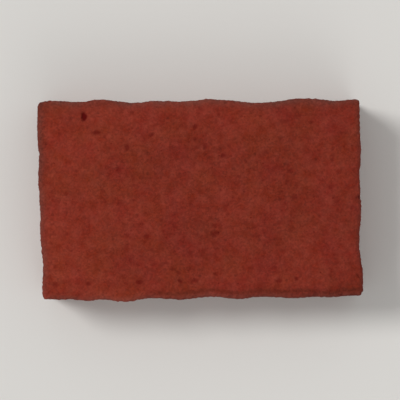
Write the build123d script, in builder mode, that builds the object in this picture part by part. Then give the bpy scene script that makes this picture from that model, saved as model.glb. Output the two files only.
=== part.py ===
from build123d import *
import math
import os

# A tumbled concrete paving stone, oblong, lying on its bed.
#
# The stone is a single casting. Its four sides stand upright and wander a little, as the mould and the
# tumbling leave them. Its wearing face is flat, and the edge round that face is worn to a rounded bevel,
# which reaches further in on some sides than on others.
#
# The origin is the middle of the bed, the flat underside. X runs along the stone, Y across it and Z up
# through its thickness. North is +Y, south is -Y, east is +X and west is -X.

# Driving dimensions, in millimetres
LENGTH = 254.0  # between the mean lines of the west and east sides
WIDTH = 157.0  # between the mean lines of the south and north sides
THICKNESS = 60.0  # bed to wearing face
WANDER = 2.5  # the most that a side stands out from its mean line, or falls behind it
BED_ROUNDING = 2.0  # the edge round the bed, which is worn less than the one round the face

# The upright corners, seen from above: the radius of each
CORNER_NORTHEAST = 3.0
CORNER_NORTHWEST = 5.5
CORNER_SOUTHWEST = 4.0
CORNER_SOUTHEAST = 5.0

# The worn bevel round the wearing face: how far in it reaches from each side, and how far down
BEVEL_NORTH = 4.0
BEVEL_SOUTH = 6.0
BEVEL_WEST = 5.0
BEVEL_EAST = 4.5
BEVEL_DEPTH = 4.0
BEVEL_STEPS = 4  # how many steps the bevel's curve is taken in, from upright to level

# How each side wanders. A pair is a place along the side, as a share of the stone's length or width from
# its middle, and how far the side stands out there, as a share of WANDER. The first and last places are
# the corners. West and south come first, as the axes run.
NORTH_WANDER_SHARES = (
    (-0.50, -0.18),
    (-0.43, -0.08),
    (-0.36, -0.30),
    (-0.30, 0.42),
    (-0.26, -0.08),
    (-0.19, -0.58),
    (-0.13, 0.02),
    (-0.06, -0.20),
    (0.05, 0.58),
    (0.13, -0.22),
    (0.20, -0.62),
    (0.33, 0.82),
    (0.38, 0.44),
    (0.43, -0.04),
    (0.50, 0.46),
)
SOUTH_WANDER_SHARES = (
    (-0.50, 0.24),
    (-0.41, 0.36),
    (-0.36, 0.84),
    (-0.32, 0.28),
    (-0.24, 1.00),
    (-0.18, 0.04),
    (-0.06, 0.26),
    (0.04, -0.60),
    (0.11, 0.16),
    (0.17, -0.52),
    (0.28, -0.12),
    (0.35, -0.54),
    (0.41, -0.48),
    (0.50, -0.96),
)
WEST_WANDER_SHARES = (
    (-0.50, -0.80),
    (-0.42, -0.78),
    (-0.31, -1.00),
    (-0.19, -0.10),
    (-0.08, -0.16),
    (0.13, 0.56),
    (0.21, 0.32),
    (0.37, 0.92),
    (0.50, 0.72),
)
EAST_WANDER_SHARES = (
    (-0.50, 0.72),
    (-0.37, 0.70),
    (-0.26, -0.34),
    (-0.10, 0.12),
    (0.05, -0.12),
    (0.13, -0.30),
    (0.24, 0.14),
    (0.36, -0.34),
    (0.50, -0.30),
)


def outline(inward=0.0):
    """Draw the stone's closed outline, each side drawn in by this share of its bevel's reach."""
    north_line = WIDTH / 2 - inward * BEVEL_NORTH
    south_line = -WIDTH / 2 + inward * BEVEL_SOUTH
    west_line = -LENGTH / 2 + inward * BEVEL_WEST
    east_line = LENGTH / 2 - inward * BEVEL_EAST
    north = [(place * LENGTH, north_line + out * WANDER) for place, out in NORTH_WANDER_SHARES]
    south = [(place * LENGTH, south_line - out * WANDER) for place, out in SOUTH_WANDER_SHARES]
    west = [(west_line - out * WANDER, place * WIDTH) for place, out in WEST_WANDER_SHARES]
    east = [(east_line + out * WANDER, place * WIDTH) for place, out in EAST_WANDER_SHARES]

    # A quarter circle stands in each corner, and the two sides that meet there end where it starts. An
    # index of -1 means that the corner is at the end of that side's points, and 0 at their beginning.
    for upright, upright_end, level, level_end, radius, start in (
        (east, -1, north, -1, CORNER_NORTHEAST, 0),
        (west, -1, north, 0, CORNER_NORTHWEST, 90),
        (west, 0, south, 0, CORNER_SOUTHWEST, 180),
        (east, 0, south, -1, CORNER_SOUTHEAST, 270),
    ):
        x = upright[upright_end][0]
        y = level[level_end][1]
        center = (x - math.copysign(radius, x), y - math.copysign(radius, y))
        upright[upright_end] = (x, center[1])
        level[level_end] = (center[0], y)
        CenterArc(center, radius, start, 90)

    for side, direction in ((north, (1, 0)), (south, (1, 0)), (west, (0, 1)), (east, (0, 1))):
        Spline(*side, tangents=(direction, direction))


with BuildPart() as paving_stone:
    # The body is straight from the bed up to the foot of the bevel.
    with BuildSketch():
        with BuildLine():
            outline()
        make_face()
    extrude(amount=THICKNESS - BEVEL_DEPTH)
    fillet(paving_stone.edges().group_by(Axis.Z)[0], BED_ROUNDING)

    # The bevel is a quarter of an ellipse in section: upright at its foot and level at the face.
    for step in range(BEVEL_STEPS + 1):
        turned = math.radians(90) * step / BEVEL_STEPS
        height = THICKNESS - BEVEL_DEPTH * (1 - math.sin(turned))
        with BuildSketch(Plane.XY.offset(height)):
            with BuildLine():
                outline(inward=1 - math.cos(turned))
            make_face()
    loft()

paving_stone.part.label = "paving_stone"

os.makedirs("parts", exist_ok=True)
export_step(paving_stone.part, "parts/paving_stone.step")
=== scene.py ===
# %% [markdown]
# # A tumbled concrete paving stone
#
# This file dresses one paving stone in Blender. The stone is a single casting of red concrete, pressed in a
# steel mould and then rolled in a drum, which knocks its edges round and rough.
#
# The solid already holds the stone's size, the wander of its sides and the bevel round its face. What is
# left for this file is what a hand would feel and an eye would see up close: the sandy skin, the pores,
# the chipped edge, the drag marks of the mould down the sides, and the colour of the concrete.

# %% Load the frame
import math

import bpy
import numpy as np
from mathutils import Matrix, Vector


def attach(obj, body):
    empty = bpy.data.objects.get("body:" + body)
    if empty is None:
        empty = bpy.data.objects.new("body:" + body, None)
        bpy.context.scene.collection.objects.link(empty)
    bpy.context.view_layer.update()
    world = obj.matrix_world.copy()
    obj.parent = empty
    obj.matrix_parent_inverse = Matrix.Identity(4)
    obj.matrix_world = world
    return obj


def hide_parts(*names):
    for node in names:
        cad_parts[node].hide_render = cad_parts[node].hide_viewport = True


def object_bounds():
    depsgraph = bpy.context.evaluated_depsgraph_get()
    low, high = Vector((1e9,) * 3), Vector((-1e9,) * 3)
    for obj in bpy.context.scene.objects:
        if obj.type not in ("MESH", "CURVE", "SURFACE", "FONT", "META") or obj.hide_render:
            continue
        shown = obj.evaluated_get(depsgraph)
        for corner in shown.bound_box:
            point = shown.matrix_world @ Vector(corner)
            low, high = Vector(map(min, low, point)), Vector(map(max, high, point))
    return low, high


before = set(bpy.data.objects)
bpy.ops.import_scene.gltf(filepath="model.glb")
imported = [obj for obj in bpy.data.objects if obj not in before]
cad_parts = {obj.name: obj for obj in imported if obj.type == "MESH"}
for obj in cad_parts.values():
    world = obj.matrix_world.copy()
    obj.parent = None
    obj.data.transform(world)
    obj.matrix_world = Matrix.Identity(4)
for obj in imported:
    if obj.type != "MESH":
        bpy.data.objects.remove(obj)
cad_low, cad_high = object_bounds()
print("the casting is", [round(1000 * size) for size in cad_high - cad_low], "mm")

# %% [markdown]
# ## Units, and a source of unevenness
#
# Every shape below is worked out in millimetres, which is how a mason thinks of it, and turned into
# Blender's metres when the mesh is made.
#
# Concrete is uneven at every size, from a slow swell across the face down to single grains of sand. A
# displacement texture could do this, but it would need a modifier for each size of bump. Here unevenness is
# a sum of cosine waves that run in random directions. It has no grid in it, so it never shows rows, and it
# is a plain function of a point, so the same call works on the face, the sides and the bed, and agrees
# where they meet.

# %% Unevenness
MM = 0.001
WAVES = 40


def ripples(points, wavelength, seed, height=1.0, stretch=(1.0, 1.0, 1.0)):
    """Random swell about zero at these points. Its height is its standard deviation.

    It is the sum of WAVES cosines, times height * sqrt(2 / WAVES). Each has its own heading, its own
    wavelength within a third of the one given, and its own phase: it turns once for each wavelength that
    a point lies further along its heading. A stretch above 1 draws the swell out along that axis.
    """
    random = np.random.default_rng(seed)
    heading = random.normal(size=(3, WAVES))
    heading /= np.linalg.norm(heading, axis=0)
    own_wavelength = wavelength * random.uniform(0.67, 1.33, WAVES)
    phase = random.uniform(0, 2 * np.pi, WAVES)
    turns = (points / np.array(stretch)) @ (heading / own_wavelength)
    return height * (np.sqrt(2 / WAVES) * np.cos(2 * np.pi * turns + phase).sum(axis=-1))


def ramp(values, low, high):
    """0 below low, 1 above high, and the S curve t * t * (3 - 2 * t) between them."""
    t = np.clip((values - low) / (high - low), 0, 1)
    return t * t * (3 - 2 * t)


sample = ripples(np.random.default_rng(1).uniform(0, 200, (4000, 3)), wavelength=9, seed=2)
print("a ripple of height 1 has a standard deviation of", round(float(sample.std()), 2))

# %% [markdown]
# ## The four sides, read off the casting
#
# The sides of a tumbled stone aren't straight. The solid has that wander already. It could be typed in here
# once more, but two copies soon disagree, so the dressed stone takes it from the solid. The vertices at the
# foot of the bevel, where the upright side ends, lie on the outline, and those clear of the corners are
# sorted along their own side. That makes four curves, each of which says how far out the side stands at a
# place along it. The casting's mesh is made of short flats, which a moving average rounds off.

# %% Side curves
LENGTH = 254.0
WIDTH = 157.0
CLEAR_X = 121.0  # how far from the middle the long sides are clear of the corners
CLEAR_Y = 71.0  # and the short sides
BEVEL_DEPTH = 4.0
HEIGHT_TOLERANCE = 0.01
SMOOTHING = np.ones(5) / 5

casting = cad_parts["paving_stone"]
vertices = np.empty(3 * len(casting.data.vertices))
casting.data.vertices.foreach_get("co", vertices)
vertices = vertices.reshape(-1, 3) / MM
thickness = vertices[:, 2].max()
bevel_foot = thickness - BEVEL_DEPTH
at_foot = np.abs(vertices[:, 2] - bevel_foot) < HEIGHT_TOLERANCE
foot_x, foot_y = vertices[at_foot, :2].T


def side_curve(along, across, limit):
    """Even places along a side, one a millimetre, and how far out the side stands at each."""
    clear = np.abs(along) <= limit
    order = np.argsort(along[clear])
    places = np.linspace(-limit, limit, round(2 * limit) + 1)
    stands = np.interp(places, along[clear][order], across[clear][order])
    return places, np.convolve(np.pad(stands, len(SMOOTHING) // 2, mode="edge"), SMOOTHING, mode="valid")


sides = {
    "south": side_curve(foot_x[foot_y < 0], foot_y[foot_y < 0], CLEAR_X),
    "east": side_curve(foot_y[foot_x > 0], foot_x[foot_x > 0], CLEAR_Y),
    "north": side_curve(foot_x[foot_y > 0], foot_y[foot_y > 0], CLEAR_X),
    "west": side_curve(foot_y[foot_x < 0], foot_x[foot_x < 0], CLEAR_Y),
}
for side, (_, stands) in sides.items():
    print(side, "side stands at", round(stands.min(), 1), "to", round(stands.max(), 1), "mm")

# %% [markdown]
# ## How far the edge is worn
#
# The bevel round the face is a quarter of an ellipse. How far it reaches in differs from side to side, and a
# tumbled edge is never even: it is knocked back in short stretches and chipped here and there. Blender's
# Bevel modifier would give it one width all round. Here one function of a place on the outline says how much
# more than its fair share the edge is worn there, so that the reach and the depth of the bevel agree.

# %% Wear of the edge
REACH = {"south": 6.0, "east": 4.5, "north": 4.0, "west": 5.0}
INWARD = {"south": 1, "east": -1, "north": -1, "west": 1}
CHIPS = 34
CHIP_RADII = (2.5, 6.0)
CHIP_SHARES = (0.10, 0.50)  # the extra wear at a chip's middle

random = np.random.default_rng(13)
chip_along = random.uniform(-1, 1, CHIPS)
on_long_side = random.random(CHIPS) < LENGTH / (LENGTH + WIDTH)
which_side = random.choice([-1, 1], CHIPS)
chip_x = np.where(on_long_side, chip_along, which_side) * LENGTH / 2
chip_y = np.where(on_long_side, which_side, chip_along) * WIDTH / 2
chip_radius = random.uniform(*CHIP_RADII, CHIPS)
chip_share = random.uniform(*CHIP_SHARES, CHIPS)


def knocks(x, y):
    """The edge's extra wear at these places, as a share of its own: slow and quick unevenness, and chips.

    A chip counts in full up to 0.3 of its radius, and falls to nothing at the radius, along an S curve.
    """
    places = np.stack([x, y, np.full_like(x, bevel_foot)], axis=-1)
    uneven = ripples(places, wavelength=26, seed=11, height=0.12)
    uneven += ripples(places, wavelength=8, seed=12, height=0.06)
    gaps = np.hypot(x[..., None] - chip_x, y[..., None] - chip_y)
    chipped = chip_share * ramp(1 - gaps / chip_radius, low=0.0, high=0.7)
    return uneven + chipped.max(axis=-1)


reaches = {}
for side, (places, stands) in sides.items():
    x, y = (places, stands) if side in ("south", "north") else (stands, places)
    reach = REACH[side] * (1 + knocks(x, y))
    reaches[side] = INWARD[side] * reach
    print(side, "bevel reaches in", round(reach.min(), 1), "to", round(reach.max(), 1), "mm")

# %% [markdown]
# ## From a flat sheet to the stone, seen from above
#
# Filling the stone's outline with one large face would be quick, but such a face has no points inside it for
# the pores to sink. So think of a sheet of graph paper as large as the stone, which is bent to the outline.
#
# First its four corners are squeezed round, each to its own radius: a point in a corner square keeps its
# direction from the square's inner corner, and is pulled in until the square's two outer sides lie on an
# arc. Then the paper is stretched sideways between the west and the east curve, and up and down between the
# south and the north one. Drawing those four curves in, by a share of the bevel's reach, gives every line
# from the outline to the rim of the wearing face.

# %% Lay the sheet out
LONG_CELLS = 270
SHORT_CELLS = 168
NEARLY_ZERO = 1e-9
CORNER_RADII = np.array([
    # west, east
    [4.0, 5.0],  # south
    [5.5, 3.0],  # north
])


def sheet(long_cells, short_cells, margin=0.0):
    """The x and the y of a flat grid as large as the stone, less a margin all round."""
    x = np.linspace(margin - LENGTH / 2, LENGTH / 2 - margin, long_cells + 1)
    y = np.linspace(margin - WIDTH / 2, WIDTH / 2 - margin, short_cells + 1)
    return np.meshgrid(x, y)


def border(long_cells, short_cells):
    """The rows and the columns of a grid's border, anticlockwise from its southwest corner."""
    long, short = np.arange(long_cells), np.arange(short_cells)
    grid_rows = np.concatenate([0 * long, short, 0 * long + short_cells, short_cells - short])
    grid_columns = np.concatenate([long, 0 * short + long_cells, long_cells - long, 0 * short])
    return grid_rows, grid_columns


def side_at(side, places, inward):
    """How far out a side stands at these places along it, drawn in by this share of its bevel's reach."""
    known, stands = sides[side]
    return np.interp(places, known, stands) + inward * np.interp(places, known, reaches[side])


def lay_out(x, y, inward):
    """Where points of the flat sheet lie on the stone, seen from above.

    In a corner, the distances past the arc's middle are multiplied by the larger of the two and divided by
    the straight distance. Then x runs from the west curve to the east one, and y from south to north.
    """
    radius = CORNER_RADII[(y > 0).astype(int), (x > 0).astype(int)]
    over_x = np.clip(np.abs(x) - LENGTH / 2 + radius, 0, None)
    over_y = np.clip(np.abs(y) - WIDTH / 2 + radius, 0, None)
    squeeze = np.maximum(over_x, over_y) / np.maximum(np.hypot(over_x, over_y), NEARLY_ZERO)
    x = x + np.sign(x) * over_x * (squeeze - 1)
    y = y + np.sign(y) * over_y * (squeeze - 1)
    west, east = side_at("west", y, inward), side_at("east", y, inward)
    south, north = side_at("south", x, inward), side_at("north", x, inward)
    return west + (x / LENGTH + 0.5) * (east - west), south + (y / WIDTH + 0.5) * (north - south)


# %% The outline
KNOCK_DEPTH_SHARE = 0.8  # a knock widens the bevel by its whole share, and deepens it by this much of that

sheet_x, sheet_y = sheet(LONG_CELLS, SHORT_CELLS)
rim = border(LONG_CELLS, SHORT_CELLS)
outline = np.column_stack(lay_out(sheet_x[rim], sheet_y[rim], 0.0))
along = np.roll(outline, -1, axis=0) - np.roll(outline, 1, axis=0)
along /= np.linalg.norm(along, axis=1, keepdims=True)
outward = np.stack([along[:, 1], -along[:, 0]], axis=1)
columns = len(outline)
depth = BEVEL_DEPTH * (1 + KNOCK_DEPTH_SHARE * knocks(*outline.T))
pitch = LENGTH / LONG_CELLS
print(columns, "stations round the outline, one every", round(pitch, 2), "mm")

# %% [markdown]
# ## The side band: one profile carried round the outline
#
# From the bed upwards the stone's section is a small rounding, a straight side and the bevel. That profile
# is carried along the outline, which makes a closed band: its columns are the stations and its rows climb
# the profile. Extruding a curve in Blender would do the same with a profile that never changes. Working it
# out as a grid lets every column have its own wear.

# %% Side band
BED_ROUNDING = 2.0
BED_ROWS = 3
SIDE_ROWS = 34
BEVEL_ROWS = 9

turn_under = np.radians(np.linspace(-90, 0, BED_ROWS + 1)[:-1])[:, None]
climb = np.linspace(0, 1, SIDE_ROWS + 1)[:-1][:, None]
turn_over = np.radians(np.linspace(0, 90, BEVEL_ROWS + 1))[:, None]
level = np.ones(columns)

tilt = np.concatenate([turn_under, 0 * climb, turn_over]) * level
under = BED_ROUNDING * (1 - np.cos(np.clip(tilt, None, 0)))
inward = 1 - np.cos(np.clip(tilt, 0, None))
height = np.concatenate([
    BED_ROUNDING * (1 + np.sin(turn_under)) * level,
    BED_ROUNDING + climb * (thickness - depth - BED_ROUNDING),
    thickness - depth * (1 - np.sin(turn_over)),
])
rows = len(tilt)

band_x, band_y = lay_out(sheet_x[rim] * np.ones((rows, 1)), sheet_y[rim] * np.ones((rows, 1)), inward)
band = np.dstack([band_x - under * outward[:, 0], band_y - under * outward[:, 1], height])
band_normals = np.dstack([np.cos(tilt)[..., None] * outward, np.sin(tilt)])
print("side band:", rows, "rows by", columns, "columns")

# %% [markdown]
# ## The face and the bed
#
# The top row of the band is the rim of the wearing face, and the face is the inside of the sheet, laid out
# with its sides drawn all the way in. Its cells are just under a millimetre wide, small enough for a pore to
# take shape in them.
#
# The bed lies on the ground and is hardly ever looked at, so its grid is three times coarser. A strip joins
# the band's fine bottom row to it: three fine cells meet one coarse one in a triangle, a quad and a
# triangle.

# %% Face and bed
COARSER = 3

face_x, face_y = lay_out(sheet_x, sheet_y, 1.0)
face = np.dstack([face_x, face_y, np.full_like(face_x, thickness)])[1:-1, 1:-1].reshape(-1, 3)

bed_cells = (LONG_CELLS // COARSER, SHORT_CELLS // COARSER)
bed_x, bed_y = lay_out(*sheet(*bed_cells, margin=BED_ROUNDING + COARSER * pitch), 0.0)
bed_grid = np.dstack([bed_x, bed_y, np.zeros_like(bed_x)])
bed_ring = bed_grid[border(*bed_cells)]
bed = bed_grid[1:-1, 1:-1].reshape(-1, 3)
print(len(face), "points inside the rim of the face,", len(bed_ring) + len(bed), "on the bed")

# %% [markdown]
# ## One list of points
#
# The relief below is easiest to write once, for all the points together. So the band, the inside of the
# face, the ring of the bed and the inside of the bed go into one list. Beside it go the way each point
# faces, how far it lies inside the rim of the face, and how far in from each side's outline.

# %% Gather the points
points = np.concatenate([band.reshape(-1, 3), face, bed_ring, bed])
normals = np.concatenate([
    band_normals.reshape(-1, 3),
    np.tile([0.0, 0.0, 1.0], (len(face), 1)),
    np.tile([0.0, 0.0, -1.0], (len(bed_ring) + len(bed), 1)),
])
on_face = np.clip(normals[:, 2], 0, 1)
on_bed = np.clip(-normals[:, 2], 0, 1)
on_side = 1 - on_face - on_bed

face_start = rows * columns
from_edge = np.minimum(LENGTH / 2 - np.abs(sheet_x), WIDTH / 2 - np.abs(sheet_y))
inside_rim = np.zeros(len(points))
inside_rim[face_start:face_start + len(face)] = from_edge[1:-1, 1:-1].ravel()
from_south = points[:, 1] - side_at("south", points[:, 0], 0.0)
from_east = side_at("east", points[:, 1], 0.0) - points[:, 0]
from_north = side_at("north", points[:, 0], 0.0) - points[:, 1]
from_west = points[:, 0] - side_at("west", points[:, 1], 0.0)
below_face = thickness - points[:, 2]
print(len(points), "points")

# %% [markdown]
# ## Pores in the face
#
# Pressed concrete holds small pores, where air or a lost grain left a hole. Cutting them out with
# modifiers would take hundreds of cutters and break up the even grid. So a pore is a bowl that the grid's
# own points sink into. The larger ones are listed one by one, each with its middle, its half widths along
# and across, and its depth. The fine ones are scattered by a seeded draw. No pore is quite round: slow
# ripples push every point a little sideways before its distance from the middle is taken.

# %% Pores
FACE_PORES = (
    # x, y, half width along, half width across, depth
    (-91.5, 65, 2.3, 2.8, 1.30),
    (-82, 53, 2.9, 1.9, 0.55),
    (-38, 51, 1.9, 1.7, 0.50),
    (-4, 57, 1.7, 2.0, 0.50),
    (-4, 48, 1.5, 2.0, 0.28),
    (4, 42, 1.8, 2.8, 0.42),
    (18, 35, 1.9, 1.7, 0.55),
    (-57.5, 41, 2.0, 2.2, 0.58),
    (-64, 24, 2.1, 2.3, 0.35),
    (71, 23, 2.0, 1.6, 0.40),
    (74, 2, 2.6, 2.0, 0.40),
    (103, 10, 2.6, 1.9, 0.30),
    (20, -7.5, 1.7, 1.3, 0.22),
    (12, -27, 2.9, 2.6, 0.50),
    (-42, -28.5, 1.8, 1.8, 0.46),
    (-58, -38, 1.9, 2.8, 0.30),
    (-113.5, -67, 2.4, 2.4, 0.45),
    (-88, -66, 2.4, 1.6, 0.45),
    (-48, -65, 2.8, 1.8, 0.60),
    (-16, -64, 1.8, 1.6, 0.55),
    (-3.5, -64, 2.2, 1.6, 0.42),
    (12, -58, 1.9, 1.6, 0.38),
    (62, -64, 1.9, 1.5, 0.50),
    (76, -62, 2.0, 1.6, 0.60),
)
BOWL_RIM = 1.5
BOWL_FLOOR = 0.5
FINE_PORES = 330
FINE_AREA = (120.0, 72.0)  # how far from the middle they lie, along and across
FINE_HALF_WIDTHS = (0.8, 1.5)
FINE_OUT_OF_ROUND = (0.8, 1.25)
FINE_DEPTHS = (0.08, 0.34)


def dimples(places, half_widths, depths):
    """How deep bowls go at each point of the stone, in millimetres.

    With d the distance from a bowl's middle, counted in its half widths, the depth follows an S curve from
    nothing at d = BOWL_RIM to the full depth at d = BOWL_FLOOR. Where two overlap, the deeper one counts.
    """
    deepest = np.zeros(len(points))
    for place, half_width, full_depth in zip(places, half_widths, depths):
        near = np.all(np.abs(pushed - place) < BOWL_RIM * half_width, axis=1)
        distance = np.linalg.norm((pushed[near] - place) / half_width, axis=1)
        bowl = full_depth * ramp(-distance, low=-BOWL_RIM, high=-BOWL_FLOOR)
        deepest[near] = np.maximum(deepest[near], bowl)
    return deepest * on_face


sideways = [ripples(points, wavelength=6, seed=seed, height=0.30) for seed in (22, 23)]
pushed = points[:, :2] + np.column_stack(sideways)
large = np.array(FACE_PORES)
random = np.random.default_rng(21)
fine_places = np.column_stack([random.uniform(-half, half, FINE_PORES) for half in FINE_AREA])
fine_widths = random.uniform(*FINE_HALF_WIDTHS, (FINE_PORES, 1))
fine_widths = fine_widths * random.uniform(*FINE_OUT_OF_ROUND, (FINE_PORES, 2))
fine_depths = random.uniform(*FINE_DEPTHS, FINE_PORES)
large_dips = dimples(large[:, :2], large[:, 2:4], large[:, 4])
fine_dips = dimples(fine_places, fine_widths, fine_depths)
print(len(large), "large pores and", FINE_PORES, "fine ones")

# %% [markdown]
# ## The skin of the face
#
# Between the pores the face isn't dead flat. It swells slowly by a fraction of a millimetre, rolls off
# towards its worn edge, most of all in the west, and has a sandy skin. Along the south side the mould's lip
# has left a shallow groove, just inside the edge, from a little west of the middle to the east end.

# %% Relief of the face
LOWERED = 0.30  # the whole face, so that hardly any of it would stand above the casting
ROLL_OFF = 0.22
WEST_ROLL_OFF = 0.50
GROOVE_INSET = 5.3
GROOVE_HALF_WIDTH = 1.6
GROOVE_DEPTH = 0.30
GROOVE_START = -38.0
GROOVE_RUN_IN = 8.0


def fade(distance, reach):
    """1 at no distance, falling off as exp(-distance / reach)."""
    return np.exp(-distance / reach)


def bell(distance, half_width):
    """1 at no distance, falling off along the bell curve exp(-(distance / half_width) ** 2)."""
    return np.exp(-((distance / half_width) ** 2))


swell = ripples(points, wavelength=75, seed=31, height=0.08)
swell += ripples(points, wavelength=17, seed=32, height=0.04)
sand = ripples(points, wavelength=4.5, seed=33, height=0.03)
sand += ripples(points, wavelength=2.4, seed=34, height=0.03)
roll_off = ROLL_OFF * fade(inside_rim, reach=5.0) + WEST_ROLL_OFF * fade(from_west, reach=8.0)

groove_wander = ripples(points, wavelength=30, seed=35, height=0.5)
groove = bell(from_south - GROOVE_INSET - groove_wander, GROOVE_HALF_WIDTH)
groove *= ramp(points[:, 0], GROOVE_START - GROOVE_RUN_IN, GROOVE_START + GROOVE_RUN_IN) * on_face
face_relief = swell + sand - LOWERED - roll_off - GROOVE_DEPTH * groove
print("the face swells by", round(float(np.ptp(swell)), 2), "mm")

# %% [markdown]
# ## The skin of the sides and the bed
#
# The sides slid out of the mould, which drew faint upright marks down them. They are also more open than
# the face, with voids between the grains, and here and there a shallow bruise from the drum. Stretching the
# ripples upwards makes the drag marks, and keeping only their highest crests makes the voids and bruises.
# The bed was struck off level, so it is rough but flat.

# %% Relief of the sides and the bed
SET_BACK = 0.25  # all of the sides and the bed, so that hardly any grit stands past the casting
VOID_DEPTH = 0.9
BRUISE_DEPTH = 0.7

drag = ripples(points, wavelength=6, seed=41, height=0.10, stretch=(1, 1, 8))
drag += ripples(points, wavelength=2.6, seed=42, height=0.05, stretch=(1, 1, 3))
grit = ripples(points, wavelength=5, seed=49, height=0.10)
grit += ripples(points, wavelength=2.6, seed=43, height=0.08)
openings = ripples(points, wavelength=5, seed=44)
openings += ripples(points, wavelength=2.6, seed=45, height=0.5)
void_share = ramp(openings, low=1.6, high=2.6)
bruise = ramp(ripples(points, wavelength=34, seed=46), low=1.1, high=2.4)
side_relief = drag + grit - SET_BACK - VOID_DEPTH * void_share - BRUISE_DEPTH * bruise
bed_relief = ripples(points, wavelength=9, seed=47, height=0.10)
bed_relief += ripples(points, wavelength=4, seed=48, height=0.05)
bed_relief -= SET_BACK
print("voids cover", round(100 * float(void_share[on_side > 0.5].mean()), 1), "% of the sides")

# %% [markdown]
# ## The crumbled edge
#
# Where the bevel is, the skin is gone and the surface is rougher than anywhere else. Each knock in the drum
# took a shallow scoop out of it, and a sharp little ridge is left where two scoops meet. Ripples turned
# positive make just that: they are hollow everywhere but along the lines where they pass through nothing.
# One nick, at the middle of the east side, cuts back into the outline itself.

# %% Relief of the worn edge
CRUMBLE_DEPTH = 0.45
NICK_PLACE = 1.8
NICK_DEPTH = 1.6
NICK_RIM = 2.6  # how far from its middle the nick ends
NICK_FLOOR = 0.8  # how far from its middle it is still fully deep

worn_down = fade(np.clip(below_face - BEVEL_DEPTH, 0, None), reach=4.0)
worn = worn_down * fade(inside_rim, reach=2.0)
scoops = np.abs(ripples(points, wavelength=9, seed=51, height=0.24))
scoops += np.abs(ripples(points, wavelength=4, seed=52, height=0.12))
crumble_pits = ramp(ripples(points, wavelength=4.2, seed=53), low=1.3, high=2.4) * on_side
edge_relief = -(scoops + CRUMBLE_DEPTH * crumble_pits) * worn

nick = ramp(-np.abs(points[:, 1] - NICK_PLACE), low=-NICK_RIM, high=-NICK_FLOOR)
nick *= fade(below_face, reach=6.0)
nick *= fade(from_east, reach=5.0)
print("the nick is", NICK_DEPTH, "mm deep")

# %% [markdown]
# ## Put the relief on
#
# A Displace modifier would move all the points by one texture. Here each point moves along the way it faces,
# by the relief of the part it belongs to. Round the bevel a point belongs partly to the face and partly to
# the side, so the two reliefs pass into each other. What would stand above the casting's height, or reach
# below its bed, is ground off flat.

# %% Displace
relief = on_face * face_relief + on_side * side_relief + on_bed * bed_relief + edge_relief
relief -= large_dips + fine_dips
shaped = points + relief[:, None] * normals
shaped[:, 0] -= NICK_DEPTH * nick
proud = (shaped[:, 2] > thickness) | (shaped[:, 2] < 0)
shaped[:, 2] = np.clip(shaped[:, 2], 0, thickness)
print(round(100 * float(proud.mean()), 1), "% of the points were ground off flat")

# %% [markdown]
# ## The mesh
#
# The faces are found from the numbers of the points alone: a grid of numbers gives a quad for each cell.
# They are listed anticlockwise as seen from outside, so that every face points outwards.

# %% Faces
def number_grid(ring_numbers, long_cells, short_cells, first_new):
    """Vertex numbers of a grid whose border is made already: its inner points count from first_new."""
    numbers = np.empty((short_cells + 1, long_cells + 1), int)
    numbers[border(long_cells, short_cells)] = ring_numbers
    inner = (short_cells - 1, long_cells - 1)
    numbers[1:-1, 1:-1] = first_new + np.arange(inner[0] * inner[1]).reshape(inner)
    return numbers


def quads(numbers):
    """The four corners of each cell of a grid, anticlockwise when its rows run up and its columns right."""
    corners = (numbers[:-1, :-1], numbers[:-1, 1:], numbers[1:, 1:], numbers[1:, :-1])
    return np.stack(corners, axis=-1).reshape(-1, 4)


band_numbers = np.arange(rows * columns).reshape(rows, columns)
ring_numbers = face_start + len(face) + np.arange(len(bed_ring))
bed_start = ring_numbers[-1] + 1

band_quads = quads(np.concatenate([band_numbers, band_numbers[:, :1]], axis=1))
face_quads = quads(number_grid(band_numbers[-1], LONG_CELLS, SHORT_CELLS, face_start))
bed_quads = quads(number_grid(ring_numbers, *bed_cells, bed_start))[:, ::-1]

fine = [np.roll(band_numbers[0], -step)[::COARSER] for step in range(COARSER + 1)]
next_ring = np.roll(ring_numbers, -1)
strip_quads = np.stack([ring_numbers, next_ring, fine[2], fine[1]], axis=1)
strip_triangles = np.concatenate([
    np.stack([fine[0], ring_numbers, fine[1]], axis=1),
    np.stack([fine[2], next_ring, fine[3]], axis=1),
])
all_quads = np.concatenate([band_quads, face_quads, bed_quads, strip_quads])
print(len(all_quads), "quads and", len(strip_triangles), "triangles")

# %% Make the stone
mesh = bpy.data.meshes.new("tumbled_stone")
mesh.from_pydata((shaped * MM).tolist(), [], [*all_quads.tolist(), *strip_triangles.tolist()])
mesh.polygons.foreach_set("use_smooth", np.ones(len(mesh.polygons), bool))
mesh.update()
stone = bpy.data.objects.new("tumbled_stone", mesh)
bpy.context.scene.collection.objects.link(stone)
print("triangles:", 2 * len(all_quads) + len(strip_triangles), "and valid:", not mesh.validate())

# %% [markdown]
# ## What the finish has to know
#
# The colour of the concrete depends on where the surface has been, and on light and shade painted into it:
# a pore is painted darker, as little light gets into it, the very edge is bared of its red skin, the skin
# beside it is painted paler near the west and north rims, as painted light, and darker near others, as
# painted shade, and the sides never saw the weather. The Geometry node's Pointiness could find edges and
# pits by itself, but it finds them all alike and can't tell one side from another. The shapes above know
# where they are, so each point keeps a few numbers that the material reads, all from 0 to 1. The edge is
# bared most in the north and hardly at all in the east. Along the south side the painted light makes it
# pale at the west end and the painted shade dark at the east end, and along the west side the painted
# shade grows darker to the north.

# %% Surface attributes
def keep(name, values):
    """Store one number for each point under this name."""
    attribute = mesh.attributes.new(name, "FLOAT", "POINT")
    attribute.data.foreach_set("value", np.clip(values, 0, 1).astype(np.float32))
    print(name, "averages", round(float(np.mean(values)), 3))


# Painted shade in hollows: the depth at which a pore is painted fully dark, and how dark other hollows are.
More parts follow.
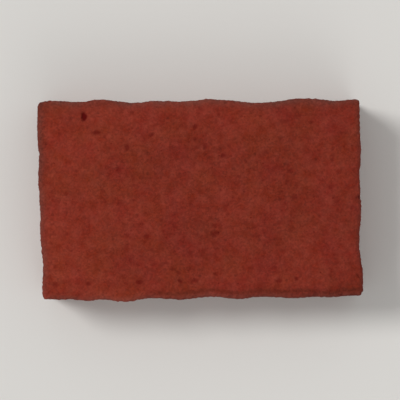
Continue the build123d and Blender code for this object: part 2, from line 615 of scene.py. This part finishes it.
FULL_DARK = 0.9  # the depth at which a pore is as dark as it gets
VOID_SHADE = 0.6
CRUMBLE_SHADE = 0.6
NICK_SHADE = 0.5
BARED = (
    # how far in from a side, the share that is bared at its edge, the half width of the band
    (from_south, 0.6, 4.0),
    (from_east, 0.2, 3.6),
    (from_north, 1.0, 5.2),
    (from_west, 0.7, 4.6),
)

eastern = points[:, 0] / (LENGTH / 2)
northern = points[:, 1] / (WIDTH / 2)
to_east = np.clip(eastern, 0, 1)
to_west = np.clip(-eastern, 0, 1)
# Painted shade in the side voids, the crumbled pits and the nick, kept with that of the pores.
hollows = VOID_SHADE * void_share * on_side + CRUMBLE_SHADE * crumble_pits * worn + NICK_SHADE * nick
bared = np.max([share * bell(distance, half_width) for distance, share, half_width in BARED], axis=0)
# Painted light: the skin is painted paler near the west and north rims, and at the south rim's west end.
painted_light = 0.70 * fade(from_west, reach=25)
painted_light += 0.35 * fade(from_north, reach=14)
painted_light += 0.15 * fade(from_south, reach=15)
painted_light *= 1 - worn
painted_light += 0.6 * to_west * bell(from_south, half_width=7)
# Painted shade: the skin is painted darker at the east ends of the south and north rims, and along the west
# rim.
painted_shade = 1.1 * to_east * bell(from_south, half_width=8)
painted_shade += 0.3 * to_east * bell(from_north, half_width=7)
painted_shade += np.clip(0.6 + 0.9 * northern, 0, 1.4) * bell(from_west, half_width=6)

keep("pore", (large_dips + fine_dips) / FULL_DARK + hollows)
keep("worn", worn)
keep("bared", bared * worn_down)
keep("painted_light", painted_light)
keep("painted_shade", painted_shade)
keep("side", on_side)
keep("groove", groove)

# %% [markdown]
# ## The finish: red concrete
#
# The pigment goes right through the concrete, so the stone is one material. A picture of concrete could be
# laid on it, but it would stretch down the sides or need a seam at every edge. Instead the look is built up
# the way the real thing is, in layers that go right through as well:
#
# - the mix itself, a brick red that is softly clouded, where it dried unevenly
# - the sand, fine speckle and a few larger grains, lighter and darker
# - what happened to it since: greyer where the edge has worn, duller and browner on the sides
# - over these, painted light and shade: lighter at the west end of the face and darker at the east end,
#   paler near the west and north rims and darker near others, and darker and redder in pores, in the
#   groove and in other hollows
#
# All of it is painted by procedural nodes on the object's own coordinates, in metres, so it stays put from
# every view.

# %% Helpers for the node tree
concrete = bpy.data.materials.new("tumbled_red_concrete")
concrete.use_nodes = True
tree = concrete.node_tree
tree.nodes.clear()


def add(kind, inputs=(), **settings):
    """Add a node to the tree at hand. An input that is a node's output is linked, and any other is set."""
    node = tree.nodes.new(kind)
    for name, value in settings.items():
        setattr(node, name, value)
    for name, value in dict(inputs).items():
        if isinstance(value, bpy.types.NodeSocket):
            tree.links.new(value, node.inputs[name])
        else:
            node.inputs[name].default_value = value
    return node


def calc(operation, first, second, third=0.0, clamp=False):
    """A Math node's output."""
    node = add("ShaderNodeMath", {0: first, 1: second, 2: third}, operation=operation, use_clamp=clamp)
    return node.outputs[0]


def mix(share, under, over):
    """A colour Mix node's output: this share of the second colour laid on the first.

    The node has sockets for numbers and vectors too. Those for colours are inputs 6 and 7, and output 2.
    """
    return add("ShaderNodeMix", {0: share, 6: under, 7: over}, data_type="RGBA").outputs[2]


def noise(size, detail=2.0, stretch=(1.0, 1.0, 1.0)):
    """Soft noise from 0 to 1, with features of about this size in millimetres."""
    stretched = add("ShaderNodeVectorMath", {0: place_of, 1: stretch}, operation="DIVIDE").outputs[0]
    inputs = {"Vector": stretched, "Scale": 1 / (size * MM), "Detail": detail, "Roughness": 0.55}
    return add("ShaderNodeTexNoise", inputs).outputs[0]


def spread(value, low, high, to_low=0.0, to_high=1.0):
    """Stretch the values from low to high over another range, and hold them at its ends.

    Where low is the larger of the two, the result falls as the value grows.
    """
    inputs = {0: value, 1: low, 2: high, 3: to_low, 4: to_high}
    return add("ShaderNodeMapRange", inputs).outputs[0]


def read(name):
    """One of the numbers kept on the points."""
    return add("ShaderNodeAttribute", attribute_name=name).outputs["Fac"]


def paint(red, green, blue):
    """A colour as a screen shows it, 0 to 255, in the linear form that Blender works in.

    The numbers are those of the standard curve of screens, sRGB: straight near black, a power above it.
    """
    shown = np.array([red, green, blue]) / 255
    linear = np.where(shown <= 0.04045, shown / 12.92, ((shown + 0.055) / 1.055) ** 2.4)
    return (*linear.tolist(), 1.0)


place_of = add("ShaderNodeTexCoord").outputs["Object"]
print("the material", concrete.name, "is begun")

# %% [markdown]
# ### The mix
#
# Painted light runs across the whole face, from a warmer and lighter west end, where the light comes from,
# to a duller and darker east end, so the east-west place is turned into a share and mixes two reds. A noise
# chooses between a browner and a rosier cast, and a slower one makes it darker or lighter. Over that lies a
# thin bloom of lime, the pale film that new concrete sweats out. Its paint is the red of the mix with white
# in it, and it is finely mottled.

# %% Colour of the mix
WEST_LIT_RED = paint(115, 35, 18)
EAST_SHADED_RED = paint(107, 29, 14)
BROWN_CAST = paint(109, 38, 13)
ROSE_CAST = paint(115, 25, 22)
LIME_BLOOM = paint(176, 92, 76)
CAST_SHARE = 0.4

# Painted light: the face is painted lighter at the west end, where the light comes from, and darker at the
# east.
eastward = spread(add("ShaderNodeSeparateXYZ", {0: place_of}).outputs["X"], cad_low.x, cad_high.x)
body = mix(eastward, WEST_LIT_RED, EAST_SHADED_RED)
cast = spread(noise(30, detail=3.0), 0.35, 0.65)
body = mix(CAST_SHARE, body, mix(cast, BROWN_CAST, ROSE_CAST))
bloom = spread(noise(7, detail=4.0), 0.3, 0.7, to_low=0.01, to_high=0.15)
body = mix(bloom, body, LIME_BLOOM)
clouds = spread(noise(50, detail=3.0), 0.3, 0.7, to_low=-0.09, to_high=0.09)
print("with the mix:", len(tree.nodes), "nodes")

# %% [markdown]
# ### The sand
#
# A cell texture gives every grain its own random brightness. The fine grains are about a millimetre, and
# the coarse ones are picked out where a cell's own random number is high, and only near its middle. The same
# trick with a still smaller middle makes pinholes, where a grain has dropped out.

# %% Speckle of the sand
def grains(size):
    """Cells of this size in millimetres: the distance from a cell's middle, and its two random numbers."""
    inputs = {"Vector": place_of, "Scale": 1 / (size * MM)}
    cell = add("ShaderNodeTexVoronoi", inputs)
    own = add("ShaderNodeSeparateColor", {0: cell.outputs["Color"]})
    return cell.outputs["Distance"], own.outputs[0], own.outputs[1]


fine_distance, fine_shade, _ = grains(1.2)
coarse_distance, coarse_pick, coarse_shade = grains(4.0)
hole_distance, hole_pick, _ = grains(5.0)
fine_speckle = spread(fine_shade, 0.0, 1.0, to_low=-0.17, to_high=0.17)
is_coarse = calc("MULTIPLY", spread(coarse_pick, 0.55, 0.60), spread(coarse_distance, 0.42, 0.25))
coarse_speckle = calc("MULTIPLY", is_coarse, spread(coarse_shade, 0.0, 1.0, to_low=-0.20, to_high=0.16))
pinhole = calc("MULTIPLY", spread(hole_pick, 0.70, 0.95), spread(hole_distance, 0.14, 0.07))
brightness = calc("ADD", calc("ADD", 1.0, clouds), calc("ADD", fine_speckle, coarse_speckle))
print("with the sand:", len(tree.nodes), "nodes")

# %% [markdown]
# ### Wear, weather, and painted light and shade
#
# Most of these are a colour laid over the mix, as strongly as the number kept on the points says. The
# painted light and shade near the rims is the mix itself, only lighter or darker. A pore is painted as
# shade, a deeper red as well as a darker one, because the light in it goes from red wall to red wall, and
# the groove is painted darker as shade too.

# %% Colours of wear, and painted light and shade
PORE_SHADE_RED = paint(84, 2, 0)
WORN_GREY = paint(109, 55, 45)
GROOVE_SHADE_BROWN = paint(84, 30, 16)
SIDE_RED = paint(106, 43, 34)
PINHOLE_SHADE = 0.7
GROOVE_SHADE_SHARE = 0.6
PAINTED_LIGHT_GAIN = 0.20
PAINTED_SHADE_DEPTH = 0.25

# Painted shade: pores, pinholes and other hollows are painted darker and redder, as shade in a hollow.
pore = calc("MULTIPLY_ADD", pinhole, PINHOLE_SHADE, read("pore"), clamp=True)
worn_share, side_share, groove_share = read("worn"), read("side"), read("groove")
streaks = spread(noise(9, detail=3.0, stretch=(1.0, 1.0, 5.0)), 0.35, 0.65, to_low=0.55, to_high=0.95)
colour = mix(calc("MULTIPLY", side_share, streaks), body, SIDE_RED)
sandy = spread(noise(2.6, detail=4.0), 0.40, 0.70, to_high=0.22)
limy = spread(noise(40, detail=4.0), 0.46, 0.66, to_high=0.16)
colour = mix(calc("MULTIPLY", side_share, calc("ADD", sandy, limy)), colour, LIME_BLOOM)
patchy = spread(noise(12, detail=5.0), 0.36, 0.62, to_low=0.4)
colour = mix(calc("MULTIPLY", read("bared"), patchy), colour, WORN_GREY)
# Painted shade: the groove is painted a darker brown, on top of the shade its own slopes cast.
colour = mix(calc("MULTIPLY", groove_share, GROOVE_SHADE_SHARE), colour, GROOVE_SHADE_BROWN)
# Painted light and shade: the skin is made lighter or darker near the rims, by the numbers kept above.
brightness = calc("MULTIPLY_ADD", read("painted_light"), PAINTED_LIGHT_GAIN, brightness)
brightness = calc("MULTIPLY_ADD", read("painted_shade"), -PAINTED_SHADE_DEPTH, brightness)
colour = add("ShaderNodeVectorMath", {0: colour, "Scale": brightness}, operation="SCALE").outputs[0]
# The painted shade of pores and hollows is laid on last.
colour = mix(pore, colour, PORE_SHADE_RED)
print("with the wear:", len(tree.nodes), "nodes")

# %% [markdown]
# ### Sheen and touch
#
# Concrete is matt. The bump is for what is finer than the mesh: the domes of the sand grains and the dust
# between them, a tenth of a millimetre high on the face and more on the sides. Its distance is a real
# length, so the grain keeps its size if the light changes.

# %% Roughness and bump
GRAIN_HEIGHT = 0.11
DOME_SHARE = 0.5
PINHOLE_DEPTH_SHARE = 2.0
SIDE_ROUGHER = 0.6

domes = spread(fine_distance, 0.0, 0.6, to_low=1.0, to_high=0.0)
dust = noise(0.8)
grain = calc("MULTIPLY_ADD", domes, DOME_SHARE, dust)
grain = calc("MULTIPLY_ADD", pinhole, -PINHOLE_DEPTH_SHARE, grain)
rougher = calc("ADD", worn_share, calc("MULTIPLY", side_share, SIDE_ROUGHER), clamp=True)
fine_height = calc("MULTIPLY", grain, spread(rougher, 0.0, 1.0, to_low=0.75, to_high=1.6))
patches = spread(noise(24), 0.38, 0.62, to_low=0.8, to_high=3.0)
openness = calc("MULTIPLY", side_share, patches)
open_texture = calc("MULTIPLY", noise(2.6, detail=4.0), openness)
bump = add("ShaderNodeBump", {
    "Height": calc("ADD", fine_height, open_texture),
    "Strength": 1.0,
    "Distance": GRAIN_HEIGHT * MM,
})
roughness = spread(noise(5), 0.3, 0.7, to_low=0.84, to_high=0.94)
surface = add("ShaderNodeBsdfPrincipled", {
    "Base Color": colour,
    "Roughness": roughness,
    "Specular IOR Level": 0.12,
    "Normal": bump.outputs[0],
})
add("ShaderNodeOutputMaterial", {"Surface": surface.outputs[0]})
mesh.materials.append(concrete)
print(len(tree.nodes), "nodes in", concrete.name)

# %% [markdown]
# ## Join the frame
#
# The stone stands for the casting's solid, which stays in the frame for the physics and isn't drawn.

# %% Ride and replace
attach(stone, "root")
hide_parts("paving_stone")
print(stone.name, "stands for the casting")

# %% [markdown]
# ## Floor, light and camera
#
# The floor is one pale sheet, wide enough to run out of every view. The light is soft and comes mostly from
# the west and a little from the north, at the height of a bright but hazy afternoon, and a weaker lamp fills
# in from the south. A sun lamp has no falloff, so the whole face is lit alike, and a wide one casts soft
# shadows, which the world lifts. Together they light a level surface at about 1, so that a colour shows as
# it was painted.
#
# The world is two things at once. To the stone it is a white sky. To the camera, and to anything glossy or
# clear, it is a plain backdrop in the colour of the floor, so that a low view shows one pale ground and no
# more light falls on the stone for it. Light Path tells the two kinds of ray apart.

# %% Floor
FLOOR_HALF = 12.0  # metres
FLOOR_COLOUR = paint(214, 212, 208)

floor_mesh = bpy.data.meshes.new("floor")
floor_corners = [(sx * FLOOR_HALF, sy * FLOOR_HALF, 0.0) for sx, sy in ((-1, -1), (1, -1), (1, 1), (-1, 1))]
floor_mesh.from_pydata(floor_corners, [], [(0, 1, 2, 3)])
floor = bpy.data.objects.new("floor", floor_mesh)
bpy.context.scene.collection.objects.link(floor)
pale = bpy.data.materials.new("pale_floor")
pale.use_nodes = True
pale_surface = pale.node_tree.nodes["Principled BSDF"]
pale_surface.inputs["Base Color"].default_value = FLOOR_COLOUR
pale_surface.inputs["Roughness"].default_value = 0.9
floor_mesh.materials.append(pale)
print("floor", 2 * FLOOR_HALF, "m wide")

# %% Lights
def sun(name, toward, strength, angle):
    """A sun lamp that shines from the direction given, as wide as this angle in degrees."""
    lamp = bpy.data.lights.new(name, "SUN")
    lamp.energy = strength
    lamp.angle = math.radians(angle)
    holder = bpy.data.objects.new(name, lamp)
    holder.rotation_mode = "QUATERNION"
    holder.rotation_quaternion = Vector(toward).to_track_quat("Z", "Y")
    bpy.context.scene.collection.objects.link(holder)


sun("key", toward=(-0.70, 0.34, 0.85), strength=1.75, angle=20)
sun("fill", toward=(0.25, -0.80, 0.60), strength=0.35, angle=40)

# %% World
SKY_STRENGTH = 0.52

world = bpy.data.worlds.new("studio")
world.use_nodes = True
tree = world.node_tree
tree.nodes.clear()

ray = add("ShaderNodeLightPath").outputs
glossy_or_clear = calc("MAXIMUM", ray["Is Glossy Ray"], ray["Is Transmission Ray"])
seen = calc("MAXIMUM", ray["Is Camera Ray"], glossy_or_clear)
sky = add("ShaderNodeBackground", {"Color": (1.0, 1.0, 1.0, 1.0), "Strength": SKY_STRENGTH})
backdrop = add("ShaderNodeBackground", {"Color": FLOOR_COLOUR, "Strength": 1.0})
chosen = add("ShaderNodeMixShader", {0: seen, 1: sky.outputs[0], 2: backdrop.outputs[0]})
add("ShaderNodeOutputWorld", {"Surface": chosen.outputs[0]})
bpy.context.scene.world = world
bpy.context.scene.view_settings.view_transform = "Standard"
print(len(tree.nodes), "nodes in the world")

# %% [markdown]
# The camera looks straight down on the stone, as one looks at paving, with north up. A long lens from well
# above keeps the sides out of sight and the outline true.

# %% Camera
VIEW_WIDTH = 0.315  # metres across the picture, at the height of the face
LENS = 200.0  # millimetres, as the sensor's width is
SENSOR = 36.0

lens = bpy.data.cameras.new("overhead")
lens.lens = LENS
lens.sensor_width = SENSOR
camera = bpy.data.objects.new("overhead", lens)
middle = (cad_low + cad_high) / 2
camera.location = (middle.x, middle.y, cad_high.z + VIEW_WIDTH * LENS / SENSOR)
bpy.context.scene.collection.objects.link(camera)
bpy.context.scene.camera = camera
print("camera", round(camera.location.z, 2), "m up")
